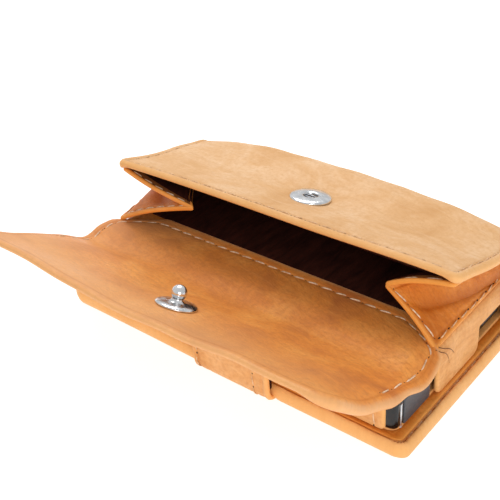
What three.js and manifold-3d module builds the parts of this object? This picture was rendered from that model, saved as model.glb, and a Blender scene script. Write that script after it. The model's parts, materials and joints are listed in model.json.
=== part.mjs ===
// Leather device case with a gusseted coin pocket, lying on its front cover.
// Millimetres. Origin: centre of the cover's underside. +X runs along the pocket mouth,
// +Y from the flap side to the spine, +Z up.
import * as THREE from 'three';
import { mergeVertices } from 'three/addons/utils/BufferGeometryUtils.js';
import Module from 'manifold-3d';

const wasm = await Module();
wasm.setup();

// ---- driving dimensions ------------------------------------------------------------
const GAP = 0.3;                 // between neighbouring layers
const COVER_L = 114;             // front cover, along X
const COVER_W = 68;              // front cover, along Y
const COVER_CORNER = 6;
const RIM_H = 4.9;               // height of the cover's rolled rim
const RIM_W = 3.4;
const HOLDER_L = 106.2;          // device holder, outside
const HOLDER_W = 62;
const HOLDER_Z = 5.2;            // underside of the holder
const WALL_Z = 6.5;              // the walls stand between the face frame and the back
const WALL_TOP = 15.3;
const WALL = 1.4;                // thickness of the holder's leather walls
const BACK_Z = 15.6;             // underside of the holder's leather back
const BACK_T = 1.0;
const POCKET_L = 107.4;          // pocket back, along X
const MOUTH_Y = -13.5;           // pocket back's edge at the mouth
const POCKET_BACK_Z = 18.2;
const PANEL_L = 111;             // pocket front panel, along X
const LEATHER = 1.3;             // main leather
const FLAP_L = 110.4;            // flap, along X
const FLAP_REACH = 37;           // flap, from its crease to its free edge
const FLAP_RISE = 28;            // degrees above the horizontal, flap open
const STRAP_X = 6.5;             // middle of the closure strap
const STRAP_W = 25;
const SNAP_Y = 11.5;             // snap's place on the front panel
const STUD_REACH = 21.9;         // stud's distance from the flap's crease
const DEG = Math.PI / 180;

// ---- pivots (Y, Z) -----------------------------------------------------------------
const STRAP_PIVOT = [-37.1, 1.8];
const PANEL_PIVOT = [33.5, 20];
const ROOT_PIVOT = [-14.4, 19.6];
const CREASE_PIVOT = [-24.3, 19.1];

// ---- materials ---------------------------------------------------------------------
function finish(colour, roughness, metalness = 0) {
  return new THREE.MeshStandardMaterial({ color: colour, roughness, metalness });
}
const tan = finish('#d9924c', 0.55);
const paleTan = finish('#e6b482', 0.5);
const lining = finish('#24110e', 0.85);
const board = finish('#b8a684', 0.9);
const foam = finish('#3b3b3b', 0.95);
const steel = finish('#c9ccd1', 0.25, 1);
const magnet = finish('#6f7276', 0.35, 1);
const blackShell = finish('#101113', 0.2);
const greyShell = finish('#55585e', 0.5);

// ---- helpers -----------------------------------------------------------------------
function named(name, geometry, material) {
  const mesh = new THREE.Mesh(geometry, material);
  mesh.name = name;
  return mesh;
}

function blockGeometry(x, y, z) {
  const geometry = new THREE.BoxGeometry(x[1] - x[0], y[1] - y[0], z[1] - z[0]);
  geometry.translate((x[0] + x[1]) / 2, (y[0] + y[1]) / 2, (z[0] + z[1]) / 2);
  return geometry;
}

function roundedRectangle(x, y, r, path = new THREE.Shape()) {
  path.moveTo(x[0] + r, y[0]);
  path.lineTo(x[1] - r, y[0]);
  path.absarc(x[1] - r, y[0] + r, r, -Math.PI / 2, 0);
  path.lineTo(x[1], y[1] - r);
  path.absarc(x[1] - r, y[1] - r, r, 0, Math.PI / 2);
  path.lineTo(x[0] + r, y[1]);
  path.absarc(x[0] + r, y[1] - r, r, Math.PI / 2, Math.PI);
  path.lineTo(x[0], y[0] + r);
  path.absarc(x[0] + r, y[0] + r, r, Math.PI, 1.5 * Math.PI);
  return path;
}

// A flat piece with its outline in XY, from z[0] up to z[1].
function slab(outline, z) {
  const geometry = new THREE.ExtrudeGeometry(outline, {
    depth: z[1] - z[0], bevelEnabled: false, curveSegments: 6,
  });
  geometry.translate(0, 0, z[0]);
  return geometry;
}

function roundedSlab(x, y, z, r) {
  return slab(roundedRectangle(x, y, r), z);
}

// A constant section drawn in YZ and carried along X, from x[0] to x[1].
function alongX(section, x) {
  const geometry = new THREE.ExtrudeGeometry(section, {
    depth: x[1] - x[0], bevelEnabled: false, curveSegments: 6,
  });
  geometry.applyMatrix4(new THREE.Matrix4().makeBasis(
    new THREE.Vector3(0, 1, 0), new THREE.Vector3(0, 0, 1), new THREE.Vector3(1, 0, 0)));
  geometry.translate(x[0], 0, 0);
  return geometry;
}

// A ring or disc turned about Z from points of [radius, height].
function turned(points, segments = 32) {
  return new THREE.LatheGeometry(points.map((p) => new THREE.Vector2(...p)), segments)
    .rotateX(Math.PI / 2);
}

function toSolid(geometry) {
  const bare = geometry.clone();
  bare.deleteAttribute('normal');
  bare.deleteAttribute('uv');
  const merged = mergeVertices(bare, 1e-4);
  return new wasm.Manifold(new wasm.Mesh({
    numProp: 3,
    vertProperties: new Float32Array(merged.attributes.position.array),
    triVerts: new Uint32Array(merged.index.array),
  }));
}

function fromSolid(solid) {
  const mesh = solid.getMesh();
  const geometry = new THREE.BufferGeometry();
  geometry.setAttribute('position', new THREE.BufferAttribute(mesh.vertProperties, 3));
  geometry.setIndex(new THREE.BufferAttribute(mesh.triVerts, 1));
  geometry.computeVertexNormals();
  return geometry;
}

function cut(body, ...tools) {
  return fromSolid(tools.reduce((left, tool) => left.subtract(toSolid(tool)), toSolid(body)));
}

function pivotGroup([y, z], tilt = 0) {
  const group = new THREE.Group();
  group.position.set(0, y, z);
  group.rotation.x = tilt;
  return group;
}

const half = (length, inset = 0) => [-length / 2 + inset, length / 2 - inset];

// ---- front cover: rolled rim, padding, board and facing, with the strap's sewn end -----
function frontCover() {
  const group = new THREE.Group();
  const floor = 1.1;
  const bevel = 1.2;
  const body = new THREE.ExtrudeGeometry(
    roundedRectangle(half(COVER_L, bevel), half(COVER_W, bevel), COVER_CORNER - bevel), {
      depth: RIM_H - 2 * bevel, bevelThickness: bevel, bevelSize: bevel, bevelSegments: 3, curveSegments: 6,
    });
  body.translate(0, 0, bevel);
  const well = roundedSlab(half(COVER_L, RIM_W), half(COVER_W, RIM_W), [floor, RIM_H + 1], 3);
  const strapX = [STRAP_X - STRAP_W / 2, STRAP_X + STRAP_W / 2];
  const strapSlot = blockGeometry(
    [strapX[0] - 0.4, strapX[1] + 0.4], [-COVER_W / 2 - 1, -31.1], [-1, 1.7]);
  group.add(named('cover_outer_leather', cut(body, well, strapSlot), paleTan));

  const layerInset = RIM_W + 0.5;
  const layers = [
    ['cover_padding', 1.4, 2.4, foam],
    ['cover_board', 2.7, 3.6, board],
    ['cover_facing', 3.9, 4.7, tan],
  ];
  for (const [name, low, high, material] of layers) {
    group.add(named(name, roundedSlab(
      half(COVER_L, layerInset), half(COVER_W, layerInset), [low, high], 2.5), material));
  }
  group.add(named('strap_sewn_end',
    blockGeometry(strapX, [STRAP_PIVOT[0], -31.4], [0, 1.4]), tan));
  return group;
}

// ---- closure strap, leaning from the cover's rim to the holder's front wall ------------
function closureStrap() {
  const lean = -8 * DEG;
  const group = pivotGroup(STRAP_PIVOT, lean);
  const height = 13.8;
  const layers = [
    ['strap_outer_leather', 0, 0.9, STRAP_W, [0.4, height], tan],
    ['strap_magnet', 1.2, 1.7, 18, [4.5, height - 2], magnet],
    ['strap_lining', 2.0, 2.4, STRAP_W, [0.4, height], lining],
  ];
  for (const [name, near, far, width, z, material] of layers) {
    group.add(named(name, blockGeometry(
      [STRAP_X - width / 2, STRAP_X + width / 2], [near, far], z), material));
  }
  return group;
}

// ---- spine -----------------------------------------------------------------------------
function spine() {
  const group = new THREE.Group();
  const x = half(100);
  const z = [0.9, 16.4];
  group.add(named('spine_leather', blockGeometry(x, [35.1, 36.1], z), paleTan));
  group.add(named('spine_lining', blockGeometry(half(98), [34.3, 34.8], [1.2, 16.1]), lining));
  return group;
}

// ---- device holder: leather box with end cut-outs round a hard tray ---------------------
function holderLeather() {
  const group = new THREE.Group();
  const endIn = HOLDER_L / 2 - WALL;
  const sideIn = HOLDER_W / 2 - WALL;
  const frame = roundedRectangle(half(HOLDER_L), half(HOLDER_W), 3);
  frame.holes.push(roundedRectangle(half(93), half(49), 4, new THREE.Path()));
  group.add(named('holder_face_frame', slab(frame, [HOLDER_Z, HOLDER_Z + 1]), tan));

  const wallZ = [WALL_Z, WALL_TOP];
  const frontEnd = 50.8;           // the front wall stops short of the corner cut-out
  group.add(named('holder_front_wall', blockGeometry(
    [-endIn + GAP, frontEnd], [-HOLDER_W / 2, -sideIn], wallZ), tan));
  group.add(named('holder_rear_wall', blockGeometry(
    half(2 * (endIn - GAP)), [sideIn, HOLDER_W / 2], wallZ), tan));
  group.add(named('holder_left_wall', blockGeometry(
    [-HOLDER_L / 2, -endIn], half(2 * (sideIn - GAP)), wallZ), tan));

  // The right wall starts behind the corner cut-out and bridges the second one.
  const bridge = { start: -12.4, end: 8.8 };
  const rearPost = 24;
  const railZ = 12.6;
  const lead = 2.5;                // radius of the bridge's rounded foot
  const wall = new THREE.Shape();
  wall.moveTo(bridge.start, WALL_TOP);
  wall.lineTo(bridge.start, WALL_Z + lead);
  wall.absarc(bridge.start + lead, WALL_Z + lead, lead, Math.PI, 1.5 * Math.PI);
  wall.lineTo(bridge.end - lead, WALL_Z);
  wall.absarc(bridge.end - lead, WALL_Z + lead, lead, -Math.PI / 2, 0);
  wall.lineTo(bridge.end, railZ);
  wall.lineTo(rearPost, railZ);
  wall.lineTo(rearPost, WALL_Z);
  wall.lineTo(sideIn - GAP, WALL_Z);
  wall.lineTo(sideIn - GAP, WALL_TOP);
  group.add(named('holder_right_wall', alongX(wall, [endIn, HOLDER_L / 2]), tan));

  group.add(named('holder_board', blockGeometry(half(102.4), half(57.2), [14.5, WALL_TOP]), board));
  group.add(named('holder_back_leather', roundedSlab(
    half(106.8), [-31.3, 33.8], [BACK_Z, BACK_Z + BACK_T], 3), tan));
  group.add(named('strap_keeper_plate', blockGeometry(
    [STRAP_X - 9, STRAP_X + 9], [-29.3, -28.9], [7.5, 13.5]), magnet));
  return group;
}

function innerTray() {
  const group = new THREE.Group();
  const x = half(102.4);
  const y = half(57.2);
  const z = [6.6, 14.2];
  const wall = 1.9;
  const floorZ = 12.9;
  const body = roundedSlab(x, y, z, 4);
  const bay = roundedSlab(
    [x[0] + wall, x[1] - wall], [y[0] + wall, y[1] - wall], [z[0] - 1, floorZ], 2.5);
  const recessDepth = 1.0;
  const recess = (yRange, zRange) => blockGeometry(
    [x[1] - recessDepth, x[1] + 1], yRange, zRange);
  const plates = [
    ['tray_end_plate_front', [-24.4, -15.8], greyShell],
    ['tray_end_plate_middle', [-12.2, 14.6], greyShell],
    ['tray_end_plate_rear', [15.8, 24.2], greyShell],
    ['tray_edge_strip', [-25.9, -25.0], steel],
  ];
  const plateZ = [7.4, 13.4];
  const recesses = plates.map(([, range]) => recess(
    [range[0] - 0.15, range[1] + 0.15], [plateZ[0] - 0.15, plateZ[1] + 0.15]));
  group.add(named('inner_tray', cut(body, bay, ...recesses), blackShell));
  for (const [name, range, material] of plates) {
    group.add(named(name, blockGeometry(
      [x[1] - recessDepth + 0.15, x[1] + 0.2], range, plateZ), material));
  }
  return group;
}

// ---- coin pocket: back, hinged front panel and folding gussets --------------------------
function pocketBack() {
  const group = new THREE.Group();
  const z = POCKET_BACK_Z;
  group.add(named('pocket_board', blockGeometry(half(105), [-12.8, 33], [16.9, 17.9]), board));
  group.add(named('pocket_back_leather', roundedSlab(
    half(POCKET_L), [MOUTH_Y, 33.4], [z, z + 1], 1.5), tan));
  group.add(named('pocket_back_lining', blockGeometry(
    half(98), [-9.5, 30], [z + 1.3, z + 1.8]), lining));
  return group;
}

// Outer face of the front panel: from the mouth down to the crown, then round to the back.
const panelFace = new THREE.CatmullRomCurve3([
  [-8, 37.4], [2, 34.1], [12, 31.5], [22, 30.3], [29, 29.5], [33, 26.6], [34.1, 20.4],
].map(([y, z]) => new THREE.Vector3(0, y, z)), false, 'centripetal');

// A skin that follows the panel's face between two depths under it.
function panelSkin(from, to, depth) {
  const steps = 22;
  const near = [];
  const far = [];
  for (let i = 0; i <= steps; i += 1) {
    const t = from + (to - from) * i / steps;
    const point = panelFace.getPointAt(t);
    const tangent = panelFace.getTangentAt(t);
    const offset = (d) => new THREE.Vector2(point.y + tangent.z * d, point.z - tangent.y * d);
    near.push(offset(depth[0]));
    far.push(offset(depth[1]));
  }
  return new THREE.Shape([...near, ...far.reverse()]);
}

function snapSocketFrame() {
  const samples = panelFace.getSpacedPoints(400);
  const index = samples.findIndex((p) => p.y >= SNAP_Y);
  const tangent = panelFace.getTangentAt(index / 400);
  const group = pivotGroup([samples[index].y, samples[index].z], Math.atan2(tangent.z, tangent.y));
  group.updateMatrix();
  return group;
}

function pocketPanel() {
  const group = new THREE.Group();
  const socketFrame = snapSocketFrame();
  const barrelHole = (r) => new THREE.CylinderGeometry(r, r, 8, 32)
    .rotateX(Math.PI / 2).applyMatrix4(socketFrame.matrix);
  const leather = alongX(panelSkin(0, 1, [0, LEATHER]), half(PANEL_L));
  group.add(named('panel_leather', cut(leather, barrelHole(3.7)), paleTan));
  group.add(named('panel_lining', alongX(panelSkin(0.06, 0.95, [2.3, 2.8]), half(100)), lining));

  const socket = [
    [2.5, 0.5], [3.1, 0.5], [3.1, -1.5], [3.4, -1.5], [3.4, 0.3], [5.8, 0.3],
    [5.8, 0.75], [5.3, 1.2], [3.2, 1.3], [2.5, 0.75], [2.5, 0.5],
  ];
  socketFrame.add(named('snap_socket', turned(socket), steel));
  const spring = [[2.4, -0.6], [2.8, -0.6], [2.8, -0.2], [2.4, -0.2], [2.4, -0.6]];
  socketFrame.add(named('snap_spring', turned(spring, 24), steel));
  const washer = [[3.7, -1.95], [5.6, -1.95], [5.6, -1.6], [3.7, -1.6], [3.7, -1.95]];
  socketFrame.add(named('snap_washer', turned(washer), steel));
  group.add(socketFrame);
  return group;
}

// One gusset leaf: a tapering skin from its sewn edge (u = 0) to the fold between leaves.
const LEAF = 1.0;
const LOWER_HINGE = { x: 53.5, y: 0, z: 20.3, pitch: 0, fold: 24.7 };
const UPPER_HINGE = { x: 54.7, y: -8, z: 33.2, pitch: 16.17, fold: 5 };

function gussetLeaf(name, side, hinge, mouthY, tipY, depth) {
  const farY = 28 - hinge.y;
  const edge = 0.8;
  const outline = new THREE.Shape([
    [edge, mouthY - hinge.y], [depth, tipY - hinge.y], [2.2, farY], [edge, farY],
  ].map(([u, v]) => new THREE.Vector2(-side * u, v)));
  const group = new THREE.Group();
  group.position.set(side * hinge.x, hinge.y, hinge.z);
  group.rotation.set(-hinge.pitch * DEG, side * hinge.turn * DEG, 0);
  group.add(named(name, slab(outline, [-LEAF / 2, LEAF / 2]), tan));
  return group;
}

function gussets() {
  const group = new THREE.Group();
  for (const [word, side] of [['right', 1], ['left', -1]]) {
    group.add(gussetLeaf(`gusset_${word}_lower`, side,
      { ...LOWER_HINGE, turn: LOWER_HINGE.fold }, -13.2, -10.2, 23.7));
    group.add(gussetLeaf(`gusset_${word}_upper`, side,
      { ...UPPER_HINGE, turn: -UPPER_HINGE.fold }, -7.6, -10.2, 23.5));
  }
  return group;
}

// ---- flap: root strip over the holder's back, then the main flap with the stud ----------
function flap() {
  const slope = Math.atan2(ROOT_PIVOT[1] - CREASE_PIVOT[1], ROOT_PIVOT[0] - CREASE_PIVOT[0]);
  const rootLength = Math.hypot(
    ROOT_PIVOT[0] - CREASE_PIVOT[0], ROOT_PIVOT[1] - CREASE_PIVOT[1]);
  const root = pivotGroup(ROOT_PIVOT, slope);
  root.add(named('flap_root', blockGeometry(
    half(109), [-rootLength + 0.45, -0.45], [-2, 0]), tan));

  const main = pivotGroup([-rootLength, 0], -FLAP_RISE * DEG - slope);
  const corner = 8;
  const outline = new THREE.Shape();
  const x = FLAP_L / 2;
  outline.moveTo(x, -0.5);
  outline.lineTo(-x, -0.5);
  outline.lineTo(-x, -FLAP_REACH + corner);
  outline.absarc(-x + corner, -FLAP_REACH + corner, corner, Math.PI, 1.5 * Math.PI);
  outline.lineTo(x - corner, -FLAP_REACH);
  outline.absarc(x - corner, -FLAP_REACH + corner, corner, -Math.PI / 2, 0);
  outline.lineTo(x, -0.5);
  const postHole = new THREE.CylinderGeometry(1.9, 1.9, 8, 24)
    .rotateX(Math.PI / 2).translate(0, -STUD_REACH, 0);
  main.add(named('flap_inner_leather', cut(slab(outline, [-1, 0]), postHole), tan));
  main.add(named('flap_outer_leather', cut(slab(outline, [-2.5, -1.3]), postHole), paleTan));

  const ballR = 1.9;
  const ballZ = 3.4;
  const neckR = 1.2;
  const neckAngle = Math.asin(neckR / ballR);
  const profile = [
    [0, -2.7], [1.6, -2.7], [1.6, GAP], [5.3, GAP], [5.3, 0.7], [4.6, 0.95], [neckR, 1.1],
  ];
  const ballSteps = 8;
  for (let i = 0; i <= ballSteps; i += 1) {
    const angle = neckAngle + (Math.PI - neckAngle) * i / ballSteps;
    const r = i === ballSteps ? 0 : ballR * Math.sin(angle);
    profile.push([r, ballZ - ballR * Math.cos(angle)]);
  }
  const studFrame = new THREE.Group();
  studFrame.position.set(0, -STUD_REACH, 0);
  studFrame.add(named('snap_stud', turned(profile), steel));
  const cap = [[0, -4], [3.6, -4], [5.2, -3.6], [5.6, -3.1], [5.6, -3], [0, -3]];
  studFrame.add(named('snap_stud_cap', turned(cap), steel));
  main.add(studFrame);
  root.add(main);
  return root;
}

const leatherCase = new THREE.Group();
leatherCase.add(frontCover(), closureStrap(), spine(), holderLeather(), innerTray());
leatherCase.add(pocketBack(), pocketPanel(), gussets(), flap());
export default leatherCase;
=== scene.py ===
"""A leather device case with a coin pocket: leather, stitching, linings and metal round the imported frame.

Lengths are millimetres until a mesh is made. +X runs along the pocket mouth, +Y from the flap to the
spine, +Z up.
"""
import json
import math

import bmesh
import bpy
import numpy as np
from mathutils import Matrix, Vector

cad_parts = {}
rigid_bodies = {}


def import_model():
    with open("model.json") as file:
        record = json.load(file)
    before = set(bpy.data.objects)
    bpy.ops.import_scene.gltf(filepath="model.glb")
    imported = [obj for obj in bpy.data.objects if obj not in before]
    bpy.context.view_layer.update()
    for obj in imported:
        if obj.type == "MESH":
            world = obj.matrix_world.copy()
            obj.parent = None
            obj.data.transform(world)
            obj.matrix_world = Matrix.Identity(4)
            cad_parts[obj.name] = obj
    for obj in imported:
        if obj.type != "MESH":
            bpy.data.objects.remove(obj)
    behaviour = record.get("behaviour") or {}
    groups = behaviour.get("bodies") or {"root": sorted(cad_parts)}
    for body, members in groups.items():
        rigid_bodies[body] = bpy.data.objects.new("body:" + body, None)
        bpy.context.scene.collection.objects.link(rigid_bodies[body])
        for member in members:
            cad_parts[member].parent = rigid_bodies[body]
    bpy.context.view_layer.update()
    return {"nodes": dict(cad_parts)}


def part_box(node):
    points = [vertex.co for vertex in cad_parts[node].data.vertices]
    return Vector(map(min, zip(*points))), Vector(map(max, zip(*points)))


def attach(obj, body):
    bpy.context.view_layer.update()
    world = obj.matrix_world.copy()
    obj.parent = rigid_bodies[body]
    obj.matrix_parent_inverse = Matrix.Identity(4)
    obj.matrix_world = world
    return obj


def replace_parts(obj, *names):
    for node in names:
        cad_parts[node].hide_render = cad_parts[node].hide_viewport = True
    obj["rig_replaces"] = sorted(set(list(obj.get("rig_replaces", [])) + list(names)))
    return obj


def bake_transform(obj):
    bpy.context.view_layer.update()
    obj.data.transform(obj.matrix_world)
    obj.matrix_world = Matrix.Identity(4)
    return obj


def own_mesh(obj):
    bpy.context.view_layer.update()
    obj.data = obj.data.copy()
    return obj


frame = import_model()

MM = 0.001
RNG = np.random.default_rng(7)


def box_mm(node):
    """The lowest and highest corner of a CAD node, in millimetres."""
    low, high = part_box(node)
    return np.array(low) / MM, np.array(high) / MM


def unit(vectors):
    return vectors / np.maximum(np.linalg.norm(vectors, axis=-1, keepdims=True), 1e-9)


def new_object(name, data):
    made = bpy.data.objects.new(name, data)
    bpy.context.scene.collection.objects.link(made)
    return made


def aimed(side, up, back, place):
    """A matrix of three unit axes at a place in millimetres."""
    return Matrix([[side[i], up[i], back[i], place[i] * MM] for i in range(3)] + [[0, 0, 0, 1]])


# ---- driving dimensions, from the frame ----
COVER_LOW, COVER_HIGH = box_mm("cover_outer_leather")
FACING_LOW, FACING_HIGH = box_mm("cover_facing")
WALL_LOW, WALL_HIGH = box_mm("holder_right_wall")
FRONT_LOW, FRONT_HIGH = box_mm("holder_front_wall")
POCKET_HIGH = box_mm("pocket_back_leather")[1]
PANEL_LOW, PANEL_HIGH = box_mm("panel_leather")
STRAP_LOW, STRAP_HIGH = box_mm("strap_outer_leather")
SPINE_LOW, SPINE_HIGH = box_mm("spine_leather")
STRAP_MIDDLE = (STRAP_LOW[0] + STRAP_HIGH[0]) / 2
LEVEL = ((1, 0, 0), (0, 1, 0))
UPRIGHT = ((1, 0, 0), (0, 0, 1))

CREASE = np.array([-24.3, 19.1])     # (y, z) of the flap's crease
FLAP_RISE = math.radians(28)
SNAP_Y = 11.5
WALL_FOOT = 5.0
FRONT_WALL_Y = -29.3
STUD_REACH = 21.9
STITCH_PITCH = 4.4
SEAM_INSET = 2.1


# ---- camera, light and floor ----
def add_camera():
    """Looks down at the case from its front right corner, with a slight roll."""
    yaw, pitch, roll = (math.radians(a) for a in (-41.07, 33.1, 4.27))
    forward = np.array([math.sin(yaw) * math.cos(pitch),
                        math.cos(yaw) * math.cos(pitch), -math.sin(pitch)])
    level = np.array([math.cos(yaw), -math.sin(yaw), 0.0])
    down = np.cross(forward, level)
    right = math.cos(roll) * level + math.sin(roll) * down
    down = math.cos(roll) * down - math.sin(roll) * level
    target = np.array([-19.98, 7.63, 10.0])
    place = target - forward * 279.45
    data = bpy.data.cameras.new("camera")
    data.sensor_width = 36.0
    data.lens = 67.8
    data.clip_start = 0.01
    camera = new_object("camera", data)
    camera.matrix_world = aimed(right, -down, -forward, place)
    bpy.context.scene.camera = camera


def add_soft_box(name, place, size, power, colour=(1, 1, 1)):
    """A square studio light at a place in millimetres, facing the middle of the case."""
    data = bpy.data.lights.new(name, "AREA")
    data.size = size * MM
    data.energy = power
    data.color = colour
    back = unit(np.array(place, float))
    side = unit(np.cross([0, 0, 1], back))
    new_object(name, data).matrix_world = aimed(side, np.cross(back, side), back, place)


def add_floor():
    """A pale floor far wider than the case."""
    mesh = bpy.data.meshes.new("floor")
    mesh.from_pydata([(-3, -3, 0), (3, -3, 0), (3, 3, 0), (-3, 3, 0)], [], [(0, 1, 2, 3)])
    material, tree, surface = new_material("pale floor", 0.9)
    feed(tree, surface, {"Base Color": (0.5, 0.5, 0.5, 1), "Specular IOR Level": 0.1,
                         "Emission Color": (1, 1, 1, 1), "Emission Strength": 0.78})
    mesh.materials.append(material)
    new_object("floor", mesh)


def add_studio():
    world = bpy.data.worlds.new("studio")
    world.use_nodes = True
    feed(world.node_tree, world.node_tree.nodes["Background"], {"Color": (1, 1, 1, 1), "Strength": 0.62})
    bpy.context.scene.world = world
    add_soft_box("key", (-250, 300, 520), 320, 2.4)
    add_soft_box("front", (420, -420, 260), 300, 1.3, (1, 0.98, 0.95))
    view = bpy.context.scene.view_settings
    view.view_transform = "Standard"
    view.look = "None"


# ---- materials ----
def linear(hex_colour):
    """A colour written as six hex digits, as linear red, green, blue and alpha."""
    values = [int(hex_colour[i:i + 2], 16) / 255 for i in (0, 2, 4)]
    return tuple(v / 12.92 if v <= 0.04045 else ((v + 0.055) / 1.055) ** 2.4 for v in values) + (1.0,)


def feed(tree, target, inputs):
    """Gives inputs of a node their values or their links."""
    for key, value in inputs.items():
        if isinstance(value, bpy.types.NodeSocket):
            tree.links.new(value, target.inputs[key])
        else:
            target.inputs[key].default_value = value
    return target


def node(tree, kind, inputs=None, **settings):
    """A new shader node with its settings, its input values and its links."""
    made = tree.nodes.new(kind)
    for key, value in settings.items():
        setattr(made, key, value)
    return feed(tree, made, inputs or {})


def blend_colours(tree, factor, first, second):
    return node(tree, "ShaderNodeMix", {0: factor, 6: first, 7: second}, data_type="RGBA").outputs[2]


def ramp(tree, factor, *stops):
    """A colour ramp with stops of (position, grey value or colour)."""
    made = node(tree, "ShaderNodeValToRGB", {"Fac": factor})
    elements = made.color_ramp.elements
    while len(elements) < len(stops):
        elements.new(0.5)
    for element, (position, value) in zip(elements, stops):
        element.position = position
        element.color = value if isinstance(value, tuple) else (value, value, value, 1)
    return made.outputs["Color"]


def new_material(name, roughness=0.5, metallic=0.0):
    material = bpy.data.materials.new(name)
    material.use_nodes = True
    tree = material.node_tree
    surface = feed(tree, tree.nodes["Principled BSDF"], {"Roughness": roughness, "Metallic": metallic})
    return material, tree, surface


def placed(tree, source, scale=(1, 1, 1), turn=0.0):
    """Coordinates scaled by three factors, after a turn about Z in degrees."""
    coordinates = node(tree, "ShaderNodeTexCoord").outputs[source]
    turned_way = {"Vector": coordinates, "Rotation": (0, 0, math.radians(turn))}
    coordinates = node(tree, "ShaderNodeMapping", turned_way).outputs[0]
    return node(tree, "ShaderNodeMapping", {"Vector": coordinates, "Scale": scale}).outputs[0]


def noise(tree, vector, scale, detail=3.0, roughness=0.55, distortion=0.0):
    return node(tree, "ShaderNodeTexNoise", {
        "Vector": vector, "Scale": scale, "Detail": detail,
        "Roughness": roughness, "Distortion": distortion}).outputs["Fac"]


def relief(tree, height, strength, distance, under=None):
    """A bump of the surface, over another one where it is given."""
    inputs = {"Height": height, "Strength": strength, "Distance": distance}
    if under is not None:
        inputs["Normal"] = under
    return node(tree, "ShaderNodeBump", inputs).outputs[0]


def leather(name, light, middle, dark, worn_and_lit, source="UV", gloss=0.42):
    """Waxed full-grain leather: cloudy dye, long faint streaks, fine pores, creases, lighter rubbed edges,
    and painted light and painted shade where the mesh's marks give them.
    """
    material, tree, surface = new_material(name, gloss)
    light, middle, dark, worn_and_lit = (linear(colour) for colour in (light, middle, dark, worn_and_lit))
    plain = placed(tree, source)
    clouds = noise(tree, plain, 52.0, 6.0, 0.62, 0.6)
    colour = ramp(tree, clouds, (0.28, dark), (0.48, middle), (0.72, light))
    for scale, turn, detail, roughness, warp, low, high, share, tint in (
            ((210, 330, 240), 12, 5.0, 0.68, 0.8, 0.5, 0.78, 0.5, dark),
            ((150, 420, 240), -8, 4.0, 0.6, 0.5, 0.55, 0.8, 0.4, light),
            ((70, 560, 140), 14, 5.0, 0.65, 0.5, 0.45, 0.72, 0.3, dark),
            ((34, 700, 120), 9, 3.0, 0.6, 0.4, 0.55, 0.8, 0.45, light)):
        layer = noise(tree, placed(tree, source, scale, turn), 1.0, detail, roughness, warp)
        colour = blend_colours(tree, ramp(tree, layer, (low, 0.0), (high, share)), colour, tint)
    speckle = noise(tree, plain, 900.0, 3.0)
    colour = blend_colours(tree, ramp(tree, speckle, (0.3, 0.45), (0.55, 0.0)), colour, dark)
    # The lighter mark lightens rubbed edges and also carries painted light; the darker mark darkens along
    # stitch grooves and also carries painted shade.
    for attribute, tint in (("wear", worn_and_lit), ("seam", dark)):
        share = node(tree, "ShaderNodeAttribute", attribute_name=attribute).outputs["Fac"]
        colour = blend_colours(tree, share, colour, tint)
    pores = node(tree, "ShaderNodeTexVoronoi", {"Vector": plain, "Scale": 1500.0}).outputs["Distance"]
    creases = noise(tree, placed(tree, source, (180, 420, 240), 15), 1.0, 6.0, 0.7, 1.0)
    feed(tree, surface, {
        "Base Color": colour, "Specular IOR Level": 0.2,
        "Roughness": ramp(tree, clouds, (0.3, gloss + 0.14), (0.7, gloss - 0.04)),
        "Normal": relief(tree, creases, 0.55, 0.0005, relief(tree, pores, 0.3, 0.0001))})
    return material


def suede(name, dark, light):
    """Short-napped lining with brushed streaks."""
    material, tree, surface = new_material(name, 0.9)
    nap = noise(tree, placed(tree, "UV", (420, 90, 200)), 1.0, 4.0, 0.7, 0.3)
    fuzz = noise(tree, placed(tree, "UV"), 2600.0, 3.0)
    feed(tree, surface, {
        "Base Color": ramp(tree, nap, (0.35, linear(dark)), (0.75, linear(light))),
        "Specular IOR Level": 0.05, "Normal": relief(tree, fuzz, 0.4, 0.00012)})
    return material


def thread_material(name, pale, deep):
    """Waxed sewing thread, with the slanted ridges of its twist."""
    material, tree, surface = new_material(name, 0.6)
    fibres = noise(tree, placed(tree, "Object", (900, 900, 900)), 1.0, 3.0)
    twist = node(tree, "ShaderNodeTexWave", {
        "Vector": placed(tree, "Object", turn=35), "Scale": 700.0, "Distortion": 1.0}).outputs["Fac"]
    feed(tree, surface, {
        "Base Color": ramp(tree, fibres, (0.35, linear(deep)), (0.6, linear(pale))),
        "Normal": relief(tree, twist, 0.5, 0.00008)})
    return material


def metal(name, bright, dull, roughness):
    """Plated metal with fine scratches and a faint cloudiness."""
    material, tree, surface = new_material(name, roughness, 1.0)
    cloud = noise(tree, placed(tree, "Object"), 420.0, 4.0)
    scratch = noise(tree, placed(tree, "Object", (300, 4000, 300), 30), 1.0, 3.0)
    feed(tree, surface, {
        "Base Color": ramp(tree, cloud, (0.35, linear(dull)), (0.65, linear(bright))),
        "Roughness": ramp(tree, scratch, (0.4, roughness), (0.8, roughness + 0.18))})
    return material


def moulded(name, base, speck, roughness, strength):
    """Moulded plastic or board with a fine even texture."""
    material, tree, surface = new_material(name, roughness)
    fine = noise(tree, placed(tree, "Object"), 1800.0, 3.0)
    feed(tree, surface, {
        "Base Color": ramp(tree, fine, (0.35, linear(base)), (0.7, linear(speck))),
        "Normal": relief(tree, fine, strength, 0.00005)})
    return material


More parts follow.
